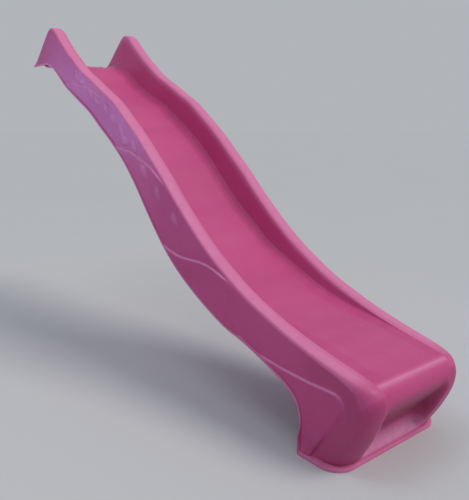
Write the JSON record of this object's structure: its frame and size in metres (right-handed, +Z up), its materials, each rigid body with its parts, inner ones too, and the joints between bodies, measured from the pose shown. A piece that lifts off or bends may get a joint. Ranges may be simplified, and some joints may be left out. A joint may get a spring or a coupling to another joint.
{
  "type": "wave slide",
  "caption": "One-piece moulded wave slide with raised wings, open flanks, a hollow nosed foot, deck screws under snap caps and buried foot anchors.",
  "frame": {"origin": "middle of the four deck screws, on the deck's top face", "axes": "+X downhill along the slide, +Y to the left of a child going down, +Z up; the ground is 1.5 m below the origin"},
  "size_m": [2.607, 0.6136, 1.957],
  "materials": {
    "moulding": "satin moulded polyethylene",
    "screw_steel": "stainless, machined",
    "cap_plastic": "smooth",
    "galvanised": "hot-dip galvanised",
    "bolt_zinc": "bright zinc"
  },
  "bodies": {
    "root": {"slide_body": "moulding", "deck_screws": "screw_steel", "deck_washers": "screw_steel", "cap_bases": "cap_plastic", "cap_lids": "cap_plastic", "anchor_left": "galvanised", "anchor_right": "galvanised", "anchor_bolts": "bolt_zinc", "anchor_washers": "bolt_zinc", "anchor_nuts": "bolt_zinc"}
  },
  "joints": []
}
